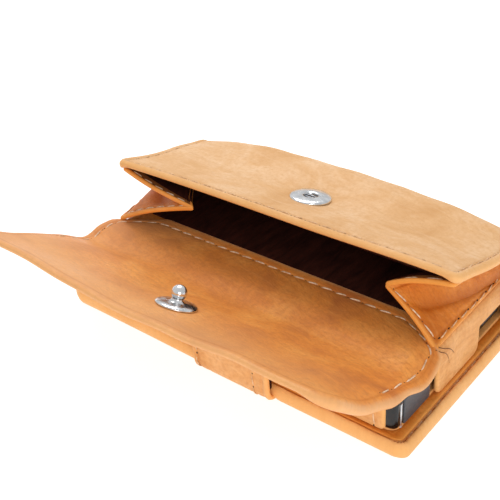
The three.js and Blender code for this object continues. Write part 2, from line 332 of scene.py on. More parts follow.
PALE = leather("pale waxed leather", "EAC59D", "DDAE7B", "CE9A62", "EEB26C", gloss=0.48)
TAN = leather("orange tan leather", "EEA353", "DA8029", "AF5913", "F1A650", gloss=0.42)
# Leather of the flap, whose lighter mark also carries painted light.
FLAP_TAN = leather("buffed tan leather", "F0A14A", "DB7F24", "AE5612", "E9B37B", gloss=0.44)
COVER = leather("golden tan leather", "F2BC82", "E5A664", "C98244", "F2B56E", gloss=0.44)
TAN_SOLID = leather("tan leather by place", "E8B276", "DB9A57", "C27C3A", "F2B46E", "Object", 0.44)
FLESH = leather("flesh side of the leather", "A8713A", "8A5526", "643A18", "C08848", gloss=0.8)
LINING = suede("dark brown lining", "28120E", "48231A")
THREAD = thread_material("beige thread", "EED3B4", "C49A70")
PALE_THREAD = thread_material("thread on pale leather", "E6BE92", "BE9060")
# Painted shade: near-black caps for the shade inside the needle holes and the press stud's socket.
HOLE_SHADE = moulded("needle holes", "2A1608", "3A200E", 0.9, 0.1)
TAIL = moulded("waxed thread tails", "8A5628", "6A3C18", 0.7, 0.1)
NICKEL = metal("polished nickel", "F2F4F6", "D4D8DC", 0.16)
SPRING = metal("spring steel", "9A9DA2", "6E7277", 0.3)
MAGNET = metal("magnet plating", "A5A8AC", "85888D", 0.35)
STRIP = metal("thin metal strip", "E8EAEC", "C2C6CA", 0.28)
BLACK = moulded("gloss black shell", "050607", "0C0D10", 0.16, 0.05)
GREY = moulded("satin grey plate", "3A3C41", "4A4C52", 0.42, 0.25)
BOARD = moulded("grey board", "8F7E60", "B5A17E", 0.9, 0.6)
FOAM = moulded("black foam", "1C1C1D", "343436", 0.95, 0.9)


# ---- meshes ----
def add_mesh(name, points, faces, materials, flat_map=None, attributes=None, indices=None):
    """A smooth mesh from points in millimetres. flat_map is each point's place on the flat hide."""
    mesh = bpy.data.meshes.new(name)
    mesh.from_pydata((np.asarray(points) * MM).tolist(), [], [list(f) for f in faces])
    for material in materials:
        mesh.materials.append(material)
    mesh.polygons.foreach_set("use_smooth", np.ones(len(mesh.polygons), bool))
    if indices is not None:
        mesh.polygons.foreach_set("material_index", np.asarray(indices, np.int32))
    if flat_map is not None:
        layer = mesh.uv_layers.new(name="hide")
        corners = np.zeros(len(mesh.loops), np.int32)
        mesh.loops.foreach_get("vertex_index", corners)
        layer.data.foreach_set("uv", (np.asarray(flat_map)[corners] * MM).astype(np.float32).ravel())
    for key, values in (attributes or {}).items():
        layer = mesh.attributes.new(key, "FLOAT", "POINT")
        layer.data.foreach_set("value", np.asarray(values, np.float32))
    mesh.update()
    return new_object(name, mesh)


def outline(width, length, corner, across, along, arc=6):
    """A rounded rectangle as one counter-clockwise loop: each side is half a corner arc, a straight
    run and half an arc, and the second half of the loop is the first turned by 180 degrees."""
    def side(span, depth, count):
        a, b = span / 2 - corner, depth / 2 - corner
        turn = np.radians(np.linspace(225, 315, 2 * arc + 1))
        turn = np.concatenate([turn[:arc], np.full(count - 2 * arc, 1.5 * math.pi), turn[arc + 1:]])
        middle = np.concatenate([np.full(arc, -a), np.linspace(-a, a, count - 2 * arc), np.full(arc, a)])
        return middle + corner * np.cos(turn), -b + corner * np.sin(turn)
    south = np.stack(side(width, length, across), 1)
    east = np.stack(side(length, width, along)[::-1], 1) * (-1, 1)
    return np.concatenate([south[:-1], east[:-1], -south[:-1], -east[:-1]])


def inside_distance(u, v, width, length, corner):
    """How far a point of the flat piece lies inside its rounded rectangular edge."""
    qx = np.abs(u) - (width / 2 - corner)
    qy = np.abs(v) - (length / 2 - corner)
    beyond = np.hypot(np.maximum(qx, 0), np.maximum(qy, 0))
    return corner - beyond - np.minimum(np.maximum(qx, qy), 0)


def grid_faces(ids):
    return np.stack([ids[:-1, :-1], ids[:-1, 1:], ids[1:, 1:], ids[1:, :-1]], 2).reshape(-1, 4)


def rounded_grid(width, length, corner, rings, step):
    """Flat points, their depth inside the edge, and the faces of a rounded rectangle: rings that follow
    the edge, then a grid blended between the four sides of the innermost ring."""
    arc = 6
    across = max(int(width / step), 4) + 2 * arc
    along = max(int(length / step), 4) + 2 * arc
    loops = [outline(width - 2 * d, length - 2 * d, max(corner - d, 0.5), across, along) for d in rings]
    count = len(loops[0])

    def sides(loop):
        corners = np.cumsum([0, across - 1, along - 1, across - 1, along - 1])
        loop = np.concatenate([loop, loop[:1]])
        south, east, north, west = (loop[a:b + 1] for a, b in zip(corners, corners[1:]))
        return south, east, north[::-1], west[::-1]

    south, east, north, west = sides(loops[-1])
    s = np.linspace(0, 1, across)[None, :, None]
    t = np.linspace(0, 1, along)[:, None, None]
    grid = ((1 - t) * south[None] + t * north[None] + (1 - s) * west[:, None] + s * east[:, None]
            - (1 - t) * ((1 - s) * south[0] + s * south[-1]) - t * ((1 - s) * north[0] + s * north[-1]))
    ids = np.zeros((along, across), int)
    last = (len(rings) - 1) * count
    ids[0], ids[:, -1], ids[-1], ids[:, 0] = sides(last + np.arange(count))
    ids[1:-1, 1:-1] = last + count + np.arange((along - 2) * (across - 2)).reshape(along - 2, across - 2)
    flat = np.concatenate(loops + [grid[1:-1, 1:-1].reshape(-1, 2)])
    depth = inside_distance(flat[:, 0], flat[:, 1], width, length, corner)
    depth[:last + count] = np.repeat(rings, count)
    here = np.arange(count)
    there = np.roll(here, -1)
    bands = [np.stack([k * count + here, k * count + there, (k + 1) * count + there,
                       (k + 1) * count + here], 1) for k in range(len(rings) - 1)]
    return flat, depth, np.concatenate(bands + [grid_faces(ids)]), count


def facing(surface, u, v):
    """Unit normals of a surface, across its two directions."""
    step = 0.05
    across = surface(u + step, v) - surface(u - step, v)
    along = surface(u, v + step) - surface(u, v - step)
    return unit(np.cross(across, along))


def quarter(x):
    """A quarter circle, from 0 at 0 to 1 at 1 and on."""
    return np.sqrt(1 - (1 - np.clip(x, 0, 1)) ** 2)


def bump(d, middle, width):
    """A smooth bump of height one."""
    return np.exp(-((d - middle) / width) ** 2)


def smooth(x, low, high):
    """Rises smoothly from 0 at low to 1 at high."""
    t = np.clip((x - low) / (high - low), 0, 1)
    return t * t * (3 - 2 * t)


RINGS = (0, 0.06, 0.2, 0.42, 0.7, 1.05, 1.4, 1.7, 1.9, 2.1, 2.3, 2.5, 2.8, 3.3, 4.2, 5.5)


class Cut:
    """A piece cut as a rounded rectangle and laid on a surface. The surface takes flat places (u, v)
    from the middle of the piece. top and bottom give the heights of the two faces over it, from the
    depth inside the edge and the flat place, and they meet at the edge."""

    def __init__(self, size, corner, surface, top, bottom, rings=RINGS, step=1.6):
        self.size, self.corner, self.surface = size, corner, surface
        self.top, self.bottom, self.step = top, bottom, step
        self.rings = np.array([r for r in rings if r < 0.45 * min(size)])
        self.inset = SEAM_INSET
        # How much darker the leather is along the stitch groove.
        self.crease = 0.35

    def build(self, name, materials, sorter=None, shift=(0, 0), wrap=1.2, painted_light=None, shaded=None):
        """The closed mesh. The first material wraps under the edge as far as wrap, and the second goes on
        from there. sorter gives other material indices to the top faces, from their depth and place.
        The last two arguments give, from the flat place, painted light added to the lighter edge mark and
        painted shade added to the darker groove mark."""
        flat, depth, faces, count = rounded_grid(*self.size, self.corner, self.rings, self.step)
        u, v = flat.T
        base = self.surface(u, v)
        normal = facing(self.surface, u, v)
        top = base + normal * self.top(depth, u, v)[:, None]
        bottom = base + normal * self.bottom(depth, u, v)[:, None]
        under = np.arange(len(flat))
        under[count:] += len(flat) - count
        points = np.concatenate([top, bottom[count:]])
        every = np.concatenate([faces, under[faces][:, ::-1]])
        place = np.concatenate([flat, flat[count:]])
        depths = np.concatenate([depth, depth[count:]])
        indices = None
        if len(materials) > 1:
            middle = depth[faces].mean(1)
            over = sorter(middle, flat[faces].mean(1)) if sorter else np.zeros(len(faces), int)
            indices = np.concatenate([over, middle > wrap])
        # Lighter rubbed edges, and painted light where a function of the flat place gives it.
        wear = np.maximum(0.75 * bump(depths, 0, 0.9), painted_light(*place.T) if painted_light else 0)
        # Darker along the stitch groove, and painted shade where a function of the flat place gives it.
        seam = np.maximum(self.crease * bump(depths, self.inset, 0.35), shaded(*place.T) if shaded else 0)
        marks = {"wear": wear, "seam": seam}
        return add_mesh(name, points, every, materials, place + shift, marks, indices)

    def at(self, u, v, lift=0.0):
        """Points on the top face, and the way out of it there."""
        depth = inside_distance(u, v, *self.size, self.corner)
        normal = facing(self.surface, u, v)
        return self.surface(u, v) + normal * (self.top(depth, u, v) + lift)[:, None], normal


def rounded_edge(thick, r=None):
    """Height of a face as a quarter round of radius r at the edge, then level."""
    return lambda d, u, v: thick * quarter(d / (r or thick))


def sewn_face(thick, groove=0.22, roll=0.18, inset=SEAM_INSET):
    """A rounded, slightly rolled edge and the hollow that a row of stitches pulls."""
    edge = rounded_edge(thick)
    return lambda d, u, v: edge(d, u, v) + roll * bump(d, inset * 0.5, 0.55) - groove * bump(d, inset, 0.45)


def under_face(thick, r=None):
    edge = rounded_edge(thick, r)
    return lambda d, u, v: -edge(d, u, v)


def plate(name, size, centre, ways, corner, half, materials, shift=(0, 0), r=None, proud=0.0, **cutting):
    """A flat piece round its centre along two directions, with half its thickness to each side and edges
    of radius r. Its top may stand a little proud."""
    cut = Cut(size, corner, flat_surface(centre, *ways), rounded_edge(half + proud, r), under_face(half, r),
              **cutting)
    return cut.build(name, materials, shift=shift)


def finish_piece(piece, body, slot, *nodes):
    """Puts a piece on its body, or, for a bend given as two bodies with a start and an end in millimetres,
    only bakes its transform, and hides the CAD nodes that it stands for. slot is not used."""
    if isinstance(body, str):
        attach(piece, body)
    else:
        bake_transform(piece)
    if nodes:
        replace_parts(piece, *nodes)
    return piece


def run_of(points):
    """How far along a line each of its points lies."""
    return np.concatenate([[0], np.cumsum(np.linalg.norm(np.diff(points, axis=0), axis=1))])


def on_line(s, run, line):
    """Points of a line at distances s along it."""
    return np.stack([np.interp(s, run, column) for column in np.asarray(line).T], -1)


def around(centre, first, second, sides):
    """Points round each centre, on an ellipse with two half axes."""
    turn = np.linspace(0, 2 * math.pi, sides, endpoint=False)[:, None]
    return centre[..., None, :] + np.cos(turn) * first[..., None, :] + np.sin(turn) * second[..., None, :]


def tube_faces(rings, sides):
    """Faces of a tube of rings and its two end fans, whose poles come after the rings."""
    j = np.arange(sides)
    ahead = (j + 1) % sides
    k = np.arange(rings - 1)[:, None] * sides
    bands = np.stack([k + j, k + ahead, k + sides + ahead, k + sides + j], 2).reshape(-1, 4)
    last, pole = (rings - 1) * sides, np.full(sides, rings * sides)
    return [*bands, *np.stack([ahead, j, pole], 1), *np.stack([last + j, last + ahead, pole + 1], 1)]


# ---- stitching ----
def stitches(name, points, normals, body, thread=THREAD, width=0.42, length=3.1):
    """A row of stitches along a line of points: each is a six-sided thread whose middle stands proud
    and whose ends dip, with a small dark cap between it and the next, painted shade for a needle hole."""
    run = run_of(points)
    count = max(int(run[-1] / STITCH_PITCH), 1)
    pitch = run[-1] / count
    length = length * pitch / STITCH_PITCH
    sections = np.linspace(-0.5, 0.5, 7)
    middles = (np.arange(count) + 0.5) * pitch + RNG.normal(0, 0.05, count)

    def along(s):
        out = unit(on_line(s, run, normals))
        ahead = unit(on_line(s + 0.2, run, points) - on_line(s - 0.2, run, points))
        return on_line(s, run, points), out, ahead, np.cross(out, ahead)

    place, out, ahead, side = along(middles[:, None] + length * sections[None])
    arch = 1 - (2 * sections) ** 4
    skew = RNG.normal(0.2, 0.05, count)[:, None] * 2 * sections[None]
    centre = place + out * (0.42 * width * arch - 0.1 * width)[None, :, None] + side * skew[..., None]
    radius = width / 2 * (0.45 + 0.55 * np.sqrt(np.clip(1 - (2 * sections) ** 6, 0, 1)))
    rim = around(centre, radius[:, None] * side, radius[:, None] * out, 6)
    tip = 0.25 * width
    ends = np.stack([centre[:, 0] - ahead[:, 0] * tip, centre[:, -1] + ahead[:, -1] * tip], 1)
    threads = np.concatenate([rim.reshape(count, -1, 3), ends], 1)

    place, out, ahead, side = along(np.clip(np.arange(count + 1) * pitch, 0.15, run[-1] - 0.15))
    ring = around(place - 0.05 * out, 0.5 * ahead, 0.32 * side, 8)
    holes = np.concatenate([ring, (place + 0.07 * out)[:, None], (place - 0.3 * out)[:, None]], 1)
    faces = []
    start = 0
    for shapes, pattern in ((threads, tube_faces(7, 6)), (holes, tube_faces(1, 8))):
        faces += [tuple(face + start + k * shapes.shape[1]) for k in range(len(shapes)) for face in pattern]
        start += shapes.shape[0] * shapes.shape[1]
    sewn = count * len(tube_faces(7, 6))
    verts = np.concatenate([threads.reshape(-1, 3), holes.reshape(-1, 3)])
    piece = add_mesh(name, verts, faces, [thread, HOLE_SHADE], indices=np.arange(len(faces)) >= sewn)
    mesh_outward(piece)
    return finish_piece(piece, body, "tan_leather")


def mesh_outward(piece):
    """Turns every closed shell of a mesh to face out."""
    shell = bmesh.new()
    shell.from_mesh(piece.data)
    bmesh.ops.recalc_face_normals(shell, faces=shell.faces)
    shell.to_mesh(piece.data)
    shell.free()


def line_on(cut, *corners, step=0.5):
    """Points and normals along straight runs between flat places on a cut piece."""
    corners = np.array(corners, float)
    flat = np.concatenate([np.linspace(a, b, max(int(np.linalg.norm(b - a) / step), 2))
                           for a, b in zip(corners, corners[1:])])
    keep = np.concatenate([[True], np.linalg.norm(np.diff(flat, axis=0), axis=1) > 1e-6])
    return cut.at(*flat[keep].T)


# ---- paths and solids ----
def rounded_path(corners, cut):
    """A line through corners, each corner rounded by a parabola that starts cut millimetres before it,
    as points, with a straight run-on past both ends, and the length between the ends."""
    corners = np.array(corners, float)
    points = [corners[:1]]
    t = np.linspace(0, 1, 13)[:, None]
    for before, here, after in zip(corners, corners[1:], corners[2:]):
        a = here + unit(before - here) * cut
        b = here + unit(after - here) * cut
        points.append((1 - t) ** 2 * a + 2 * t * (1 - t) * here + t ** 2 * b)
    return run_on(np.concatenate(points + [corners[-1:]]))


def run_on(points):
    """Points, run length at each from the first true point, and the whole length, with 2 mm run-ons."""
    first = points[0] - unit(points[1] - points[0]) * 2
    last = points[-1] + unit(points[-1] - points[-2]) * 2
    points = np.concatenate([first[None], points, last[None]])
    run = run_of(points) - 2
    return points, run, run[-2]


def through(points, steps=24):
    """A centripetal Catmull-Rom curve through points, as a fine line."""
    points = np.array(points, float)
    padded = np.concatenate([[2 * points[0] - points[1]], points, [2 * points[-1] - points[-2]]])
    t = np.linspace(0, 1, steps, endpoint=False)[:, None]
    lines = []
    for p0, p1, p2, p3 in zip(padded, padded[1:], padded[2:], padded[3:]):
        d0, d1, d2 = (np.sqrt(np.linalg.norm(b - a)) for a, b in ((p0, p1), (p1, p2), (p2, p3)))
        m1 = ((p1 - p0) / d0 - (p2 - p0) / (d0 + d1) + (p2 - p1) / d1) * d1
        m2 = ((p2 - p1) / d1 - (p3 - p1) / (d1 + d2) + (p3 - p2) / d2) * d1
        lines.append((2 * t ** 3 - 3 * t ** 2 + 1) * p1 + (t ** 3 - 2 * t ** 2 + t) * m1
                     + (3 * t ** 2 - 2 * t ** 3) * p2 + (t ** 3 - t ** 2) * m2)
    return np.concatenate(lines + [points[-1:]])


def along_x(path, middle_x=0.0):
    """A surface that carries a (y, z) path along X. v runs along the path from its middle."""
    points, run, length = path
    return lambda u, v: np.stack([u + middle_x, *on_line(length / 2 + v, run, points).T], 1)


def flat_surface(centre, u_way, v_way):
    """A plane through a centre, with its two directions."""
    centre, u_way, v_way = (np.array(a, float) for a in (centre, u_way, v_way))
    return lambda u, v: centre + u[:, None] * u_way + v[:, None] * v_way


def turned(name, profile, frame_of, material, segments=64):
    """A solid turned about its own axis from (radius, height) points that start and end on the axis."""
    radius, height = np.array(profile, float).T[..., None]
    x, y, z = np.eye(3)
    rings = around(height * z, radius * x, radius * y, segments)[1:-1]
    return tube_mesh(name, rings, (height * z)[[0, -1]], frame_of, material)


def tube_mesh(name, rings, poles, frame_of, material):
    """A closed tube of rings with two poles, given in a frame of a centre and three axes."""
    centre, axes = frame_of
    points = centre + np.concatenate([rings.reshape(-1, 3), poles]) @ axes
    piece = add_mesh(name, points, tube_faces(*rings.shape[:2]), [material])
    mesh_outward(piece)
    return piece


def tube(name, line, radius, frame_of, material, sides=10):
    """A round wire along a line that lies in its frame's plane, with rounded ends."""
    line = np.array(line, float)
    side = np.cross(unit(np.gradient(line, axis=0)), [0, 0, 1.0])
    size = radius * np.sqrt(np.clip(1 - np.linspace(-1, 1, len(line)) ** 40, 0.05, 1))[:, None]
    rings = around(line, size * side, size * [0, 0, 1.0], sides)
    return tube_mesh(name, rings, line[[0, -1]], frame_of, material)


def rounded_copy(node_name, name, material, body, slot, edge=0.3):
    """The CAD node's own shape with its facets joined and its edges rounded."""
    shell = bmesh.new()
    shell.from_mesh(frame["nodes"][node_name].data)
    bmesh.ops.remove_doubles(shell, verts=shell.verts, dist=1e-6)
    bmesh.ops.dissolve_limit(shell, angle_limit=math.radians(1), verts=shell.verts, edges=shell.edges)
    mesh = bpy.data.meshes.new(name)
    shell.to_mesh(mesh)
    shell.free()
    mesh.materials.clear()
    mesh.materials.append(material)
    mesh.polygons.foreach_set("use_smooth", np.ones(len(mesh.polygons), bool))
    piece = new_object(name, mesh)
    bevel = piece.modifiers.new("rounded edges", "BEVEL")
    bevel.width = edge * MM
    bevel.segments = 3
    bevel.limit_method = "ANGLE"
    bevel.angle_limit = math.radians(30)
    bevel.harden_normals = True
    return finish_piece(piece, body, slot, node_name)


# ---- front cover ----
def make_cover():
    """The rim is a roll 1.7 wide, then a stitched hollow, a narrow ledge, and the well for the layers.
    Round the corners the roll is gathered in small pleats."""
    width, length = (COVER_HIGH - COVER_LOW)[:2]
    corner, rise, roll, ledge = 4.2, 2.35, 1.3, 4.4
    crown = COVER_HIGH[2]
    well_floor = 1.1

    def top(d, u, v):
        round_up = rise + (crown - rise) * quarter(d / roll)
        height = round_up - (crown - ledge) * smooth(d, roll, 2.1) - 0.5 * bump(d, 2.0, 0.32)
        cx = np.abs(u) - (width / 2 - corner)
        cy = np.abs(v) - (length / 2 - corner)
        angle = np.arctan2(np.maximum(cy, 0), np.maximum(cx, 0) + 1e-9)
        gathered = smooth(np.minimum(cx, cy), -2.5, 1.5) * smooth(d, 0.5, 1.4) * (1 - smooth(d, 2.9, 3.4))
        pleats = 0.24 * np.sin(angle * 17 + 1.3 * np.sin(u)) * gathered
        soft = 0.07 * np.sin(0.31 * (u + v)) + 0.05 * np.sin(0.83 * (u - v) + 1)
        return height + pleats + soft * smooth(d, 0.1, 1) - (ledge - well_floor) * smooth(d, 2.92, 3.02)

    def plan(u, v):
        set_back = (1.8 + 0.8 * smooth(-u, -20, 55)) * (1 - smooth(v, -length / 2, -length / 2 + 5.5))
        return np.stack([u, v + set_back, 0 * u], 1)

    strap_half = (STRAP_HIGH[0] - STRAP_LOW[0]) / 2

    def bottom(d, u, v):
        under = rise * (1 - quarter(d / 1.8))
        slot = 1 - smooth(np.abs(u - STRAP_MIDDLE), strap_half, strap_half + 0.8)
        slot = slot * (1 - smooth(v, -30, -29.2))
        return under + (1.55 - under) * slot * (d > 0) * (under < 1.55)

    rings = (0, 0.05, 0.16, 0.36, 0.6, 0.9, 1.2, 1.45, 1.65, 1.85, 2.0, 2.15, 2.35, 2.6, 2.92, 2.97, 3.02,
             3.8, 5.0)
    cover = Cut((width, length), corner, plan, top, bottom, rings, 1.3)
    cover.inset = 2.05
    cover.crease = 0.8
    finish_piece(cover.build("cover_leather", [COVER]), "front_cover", "pale_tan_leather",
                 "cover_outer_leather")
    loop = outline(width - 2 * cover.inset, length - 2 * cover.inset, corner - cover.inset, 120, 80)
    open_edge = loop[:, 1] < length / 2 - 5
    start = int(np.argmin(open_edge))
    loop = np.roll(loop, -start, axis=0)[np.roll(open_edge, -start)]
    stitches("cover_rim_stitching", *cover.at(*loop.T), "front_cover", PALE_THREAD, 0.45)

    inset = 2.35
    z = (FACING_LOW[2] + FACING_HIGH[2]) / 2 + 0.1
    edge = rounded_edge((FACING_HIGH[2] - FACING_LOW[2]) / 2)
    facing_piece = Cut((width - 2 * inset, length - 2 * inset), 3.0,
                       lambda u, v: plan(u, v) + (0, 0, z), edge, lambda d, u, v: -0.3 * edge(d, u, v))
    finish_piece(facing_piece.build("cover_facing_leather", [TAN, FLESH]), "front_cover", "tan_leather",
                 "cover_facing")

    low, high = box_mm("cover_padding")
    half = (high[2] - low[2]) / 2
    pad = Cut((high - low)[:2], 2.5, flat_surface((0, 0, low[2] + half), *LEVEL),
              lambda d, u, v: rounded_edge(half)(d, u, v) + 0.12 * smooth(d, 1, 14), under_face(half),
              step=3)
    padding = finish_piece(pad.build("cover_foam", [FOAM]), "front_cover", "foam", "cover_padding")
    rounded_copy("cover_board", "cover_stiffener", BOARD, "front_cover", "board", 0.15)


def make_strap():
    """The strap comes out from under the cover, turns up over its edge and lies against the holder."""
    top = STRAP_HIGH[2]
    path = rounded_path([(-28.0, 0.78), (-33.7, 0.78), (-33.9, top + 0.2)], 3.6)
    strap = Cut((STRAP_HIGH[0] - STRAP_LOW[0], path[2]), 2.0, along_x(path, STRAP_MIDDLE),
                sewn_face(0.68, 0.2, 0.12, 1.8), under_face(0.68), step=1.2)
    bend = ("front_cover", "closure_strap", (STRAP_MIDDLE, -34.0, 0.9), (STRAP_MIDDLE, -34.0, 3.8))
    finish_piece(strap.build("closure_strap_leather", [COVER], shift=(40, 90)), bend, "tan_leather",
                 "strap_outer_leather", "strap_sewn_end")
    low, high = 4.2 - path[2] / 2, path[2] / 2 - 2.5
    for word, x in (("left", -4.5 - STRAP_MIDDLE), ("right", 14.4 - STRAP_MIDDLE)):
        stitches(f"strap_stitching_{word}", *line_on(strap, (x, low), (x, high)), bend, PALE_THREAD,
                 0.36, 3.0)
    for name, node_name, size, y, half, z, material, slot in (
            ("strap_suede", "strap_lining", (24.6, 10.6), -32.55, 0.2, top - 6.2, LINING, "dark_lining"),
            ("strap_magnet_plate", "strap_magnet", (18, 7.2), -32.95, 0.25, top - 6.0, MAGNET, "magnet")):
        sheet = plate(name, size, (STRAP_MIDDLE, y, z), UPRIGHT, 1.2, half, [material],
                      rings=(0, 0.05, 0.12, 0.2, 0.4, 1.0), step=2.5)
        finish_piece(sheet, "closure_strap", slot, node_name)


def make_spine():
    """The spine panel, and a folded strip of leather above and below it."""
    width, thick, height = SPINE_HIGH - SPINE_LOW
    _, outer, middle = (SPINE_LOW + SPINE_HIGH) / 2
    panel = plate("spine_panel", (width, height - 4.0), (0, outer, middle), ((-1, 0, 0), (0, 0, 1)), 1.5,
                  thick / 2, [PALE, FLESH], (0, 200), proud=0.15)
    finish_piece(panel, "spine", "pale_tan_leather", "spine_leather")
    for name, corners, bend in (
            ("spine_lower_fold", [(32.6, 1.2), (34.6, 0.85), (outer, 1.7), (outer, 4.6)],
             ("front_cover", "spine", (0, 35.0, 0.8), (0, 35.9, 2.4))),
            ("spine_upper_fold", [(outer, 12.8), (outer, 15.6), (34.4, 16.3), (31.8, 16.1)],
             ("spine", "holder", (0, 35.9, 15.2), (0, 34.6, 16.6)))):
        path = rounded_path(corners, 0.9)
        fold = Cut((width - 0.6, path[2]), 1.0, along_x(path), rounded_edge(0.45), under_face(0.45),
                   step=1.5)
        piece = fold.build(name, [PALE], shift=(0, 230))
        mesh_outward(piece)
        finish_piece(piece, bend, "pale_tan_leather")
    rounded_copy("spine_lining", "spine_suede", LINING, "spine", "dark_lining", 0.12)


# ---- device holder ----
def wall_outline(side):
    """Lower edge of an end wall against y, above its foot. The right wall has a bridge with a rounded
    foot between two cut-outs, and starts behind the corner cut-out."""
    bridge_start, bridge_end, post, rail, lead = WALL_LOW[1], 8.8, 24.0, 12.6, 2.5
    foot = WALL_FOOT

    def lower(y):
        if side < 0:
            return np.zeros_like(y)
        near = np.clip(lead - (y - bridge_start), 0, lead)
        far = np.clip(lead - (bridge_end - y), 0, lead)
        round_foot = lead - np.sqrt(lead ** 2 - np.maximum(near, far) ** 2)
        inside = (y > bridge_end) & (y < post)
        return np.where(inside, rail - foot, round_foot * (y <= bridge_end))

    fine = np.array([0.02, 0.1, 0.25, 0.5, 0.8, 1.2])
    start = bridge_start if side > 0 else -WALL_HIGH[1]
    end = WALL_HIGH[1]
    marks = [start + np.append(0, fine), end - np.append(0, fine), np.arange(start + 1.8, end - 1.2, 0.9)]
    if side > 0:
        marks += [bridge_end - fine, bridge_end + fine, post - fine, post + fine,
                  start + np.arange(0.1, lead, 0.25), bridge_end - np.arange(0.1, lead, 0.25)]
    return np.unique(np.round(np.concatenate(marks), 3)), lower


def make_end_wall(side, word):
    """An end wall and its shoulder: up from the foot, then a quarter round in to the pocket's side seam."""
    outer = WALL_HIGH[0]
    top = POCKET_HIGH[2] + 0.15
    foot = WALL_FOOT
    path = rounded_path([(-0.9, foot), (-1.0, 10.5), (-0.6, top - 0.7), (2.4, top + 0.05)], 2.2)
    points, run, length = path
    ys, lower = wall_outline(side)
    ends = [0, 0.006, 0.02, 0.05, 0.09, 0.95, 0.98, 0.994, 1]
    rows = np.unique(np.append(ends, np.linspace(0.14, 0.9, 22)))
    y, t = np.meshgrid(ys, rows, indexing="ij")
    low = lower(ys)[:, None]
    grid = np.stack([y, low + t * (length - low)], 2)
    rim = np.concatenate([grid[:, 0], grid[-1], grid[::-1, -1], grid[0, ::-1]])
    flat = grid.reshape(-1, 2)
    start, way = rim[:-1], np.diff(rim, axis=0)
    share = np.clip(((flat[:, None] - start) * way).sum(2) / np.maximum((way ** 2).sum(1), 1e-9), 0, 1)
    depth = np.linalg.norm(start + share[..., None] * way - flat[:, None], axis=2).min(1)

    def surface(u, v):
        inward, z = on_line(v, run, points).T
        return np.stack([side * (outer - inward), side * u, z], 1)

    base = surface(flat[:, 0], flat[:, 1])
    normal = facing(surface, flat[:, 0], flat[:, 1])
    half = 0.7
    swell = half * quarter(depth / half)
    groove = 0.3 * bump(length - flat[:, 1], 1.5, 0.4)
    upper = base + normal * (swell - half - groove)[:, None]
    lower_face = base - normal * (swell + half)[:, None]
    ny, nt = y.shape
    ids = np.arange(ny * nt).reshape(ny, nt)
    quads = grid_faces(ids)
    inner = np.zeros((ny, nt), bool)
    inner[1:-1, 1:-1] = True
    under = ids.copy()
    under[inner] = ny * nt + np.arange(inner.sum())
    faces = np.concatenate([quads, under.ravel()[quads][:, ::-1]])
    every = np.concatenate([upper, lower_face[inner.ravel()]])
    place = np.concatenate([flat, flat[inner.ravel()]]) + (0, 60)
    depths = np.concatenate([depth, depth[inner.ravel()]])
    piece = add_mesh(f"holder_{word}_end_leather", every, faces, [COVER], place,
                     {"wear": 0.6 * bump(depths, 0, 0.8),
                      "seam": 0.4 * bump(place[:, 1] - 60, length - 1.5, 0.4)})
    mesh_outward(piece)
    finish_piece(piece, "holder", "pale_tan_leather", f"holder_{word}_wall")
    seam_y = np.linspace(ys[0] + 1.5, ys[-1] - 2, 120)
    seam_v = np.full_like(seam_y, length - 1.5)
    seam = surface(seam_y, seam_v)
    out = facing(surface, seam_y, seam_v)
    stitches(f"pocket_side_stitching_{word}", seam - out * 0.25, out, "holder", THREAD, 0.42)


def make_holder():
    border = rounded_copy("holder_face_frame", "holder_face_border", TAN_SOLID, "holder", "tan_leather")
    border.data.transform(Matrix.Diagonal((0.99, 0.945, 1, 1)))
    low = np.array([FRONT_LOW[0], FRONT_WALL_Y - 0.7, WALL_FOOT + 0.1])
    high = np.array([50.0, FRONT_WALL_Y + 0.7, FRONT_HIGH[2]])
    width, thick, height = high - low
    front = Cut((width, height), 1.6, flat_surface((low + high) / 2, *UPRIGHT), rounded_edge(thick / 2),
                under_face(thick / 2))
    finish_piece(front.build("holder_front_leather", [COVER, FLESH], shift=(0, 300)), "holder",
                 "pale_tan_leather", "holder_front_wall")
    x, z = width / 2 - 2.8, height / 2 - 0.6
    stitches("holder_front_stitching", *line_on(front, (x, -z), (x, z)), "holder", PALE_THREAD, 0.45)
    rounded_copy("holder_rear_wall", "holder_rear_leather", TAN_SOLID, "holder", "tan_leather", 0.4)
    make_end_wall(1, "right")
    make_end_wall(-1, "left")
    for node_name, name, shift in (("holder_back_leather", "holder_back_panel", 400),
                                   ("pocket_back_leather", "pocket_back_panel", 500)):
        low, high = box_mm(node_name)
        _, depth, thick = high - low
        slab = plate(name, (103.2, depth), (0, (low[1] + high[1]) / 2, low[2] + thick / 2), LEVEL, 4.0,
                     thick / 2, [TAN, FLESH], (0, shift), step=2.5)
        finish_piece(slab, "holder", "tan_leather", node_name)
    for copy in (("holder_board", "holder_stiffener", BOARD, "holder", "board", 0.15),
                 ("pocket_board", "pocket_stiffener", BOARD, "holder", "board", 0.15),
                 ("strap_keeper_plate", "strap_keeper", MAGNET, "holder", "magnet", 0.12),
                 ("inner_tray", "hard_tray", BLACK, "holder", "black_shell", 0.45),
                 ("tray_end_plate_middle", "tray_plate_middle", GREY, "holder", "grey_shell", 0.25),
                 ("tray_end_plate_rear", "tray_plate_rear", GREY, "holder", "grey_shell", 0.25)):
        rounded_copy(*copy)
    for name, nodes, low, high, corner, material, slot in (
            ("tray_corner_shell", (), (46.0, -29.4, 5.3), (52.6, -12.9, 14.4), 1.3, BLACK, "black_shell"),
            ("tray_metal_strip", ("tray_edge_strip",), (52.2, -27.1, 5.7), (52.85, -26.7, 13.0), 0.2, STRIP,
             "bright_metal"),
            ("tray_plate_front", ("tray_end_plate_front",), (52.0, -25.9, 5.8), (52.95, -13.9, 13.7), 0.4,
             GREY, "grey_shell")):
        low, high = np.array(low), np.array(high)
        thick, depth, height = high - low
        rings = np.minimum(np.array([0, 0.03, 0.1, 0.22, 0.4, 0.7, 1.0]) * corner, 0.45 * depth)
        block = plate(name, (depth, height), (low + high) / 2, ((0, 1, 0), (0, 0, 1)), max(corner, 0.3),
                      thick / 2, [material], r=corner, rings=rings, step=2.0)
        finish_piece(block, "holder", slot, *nodes)


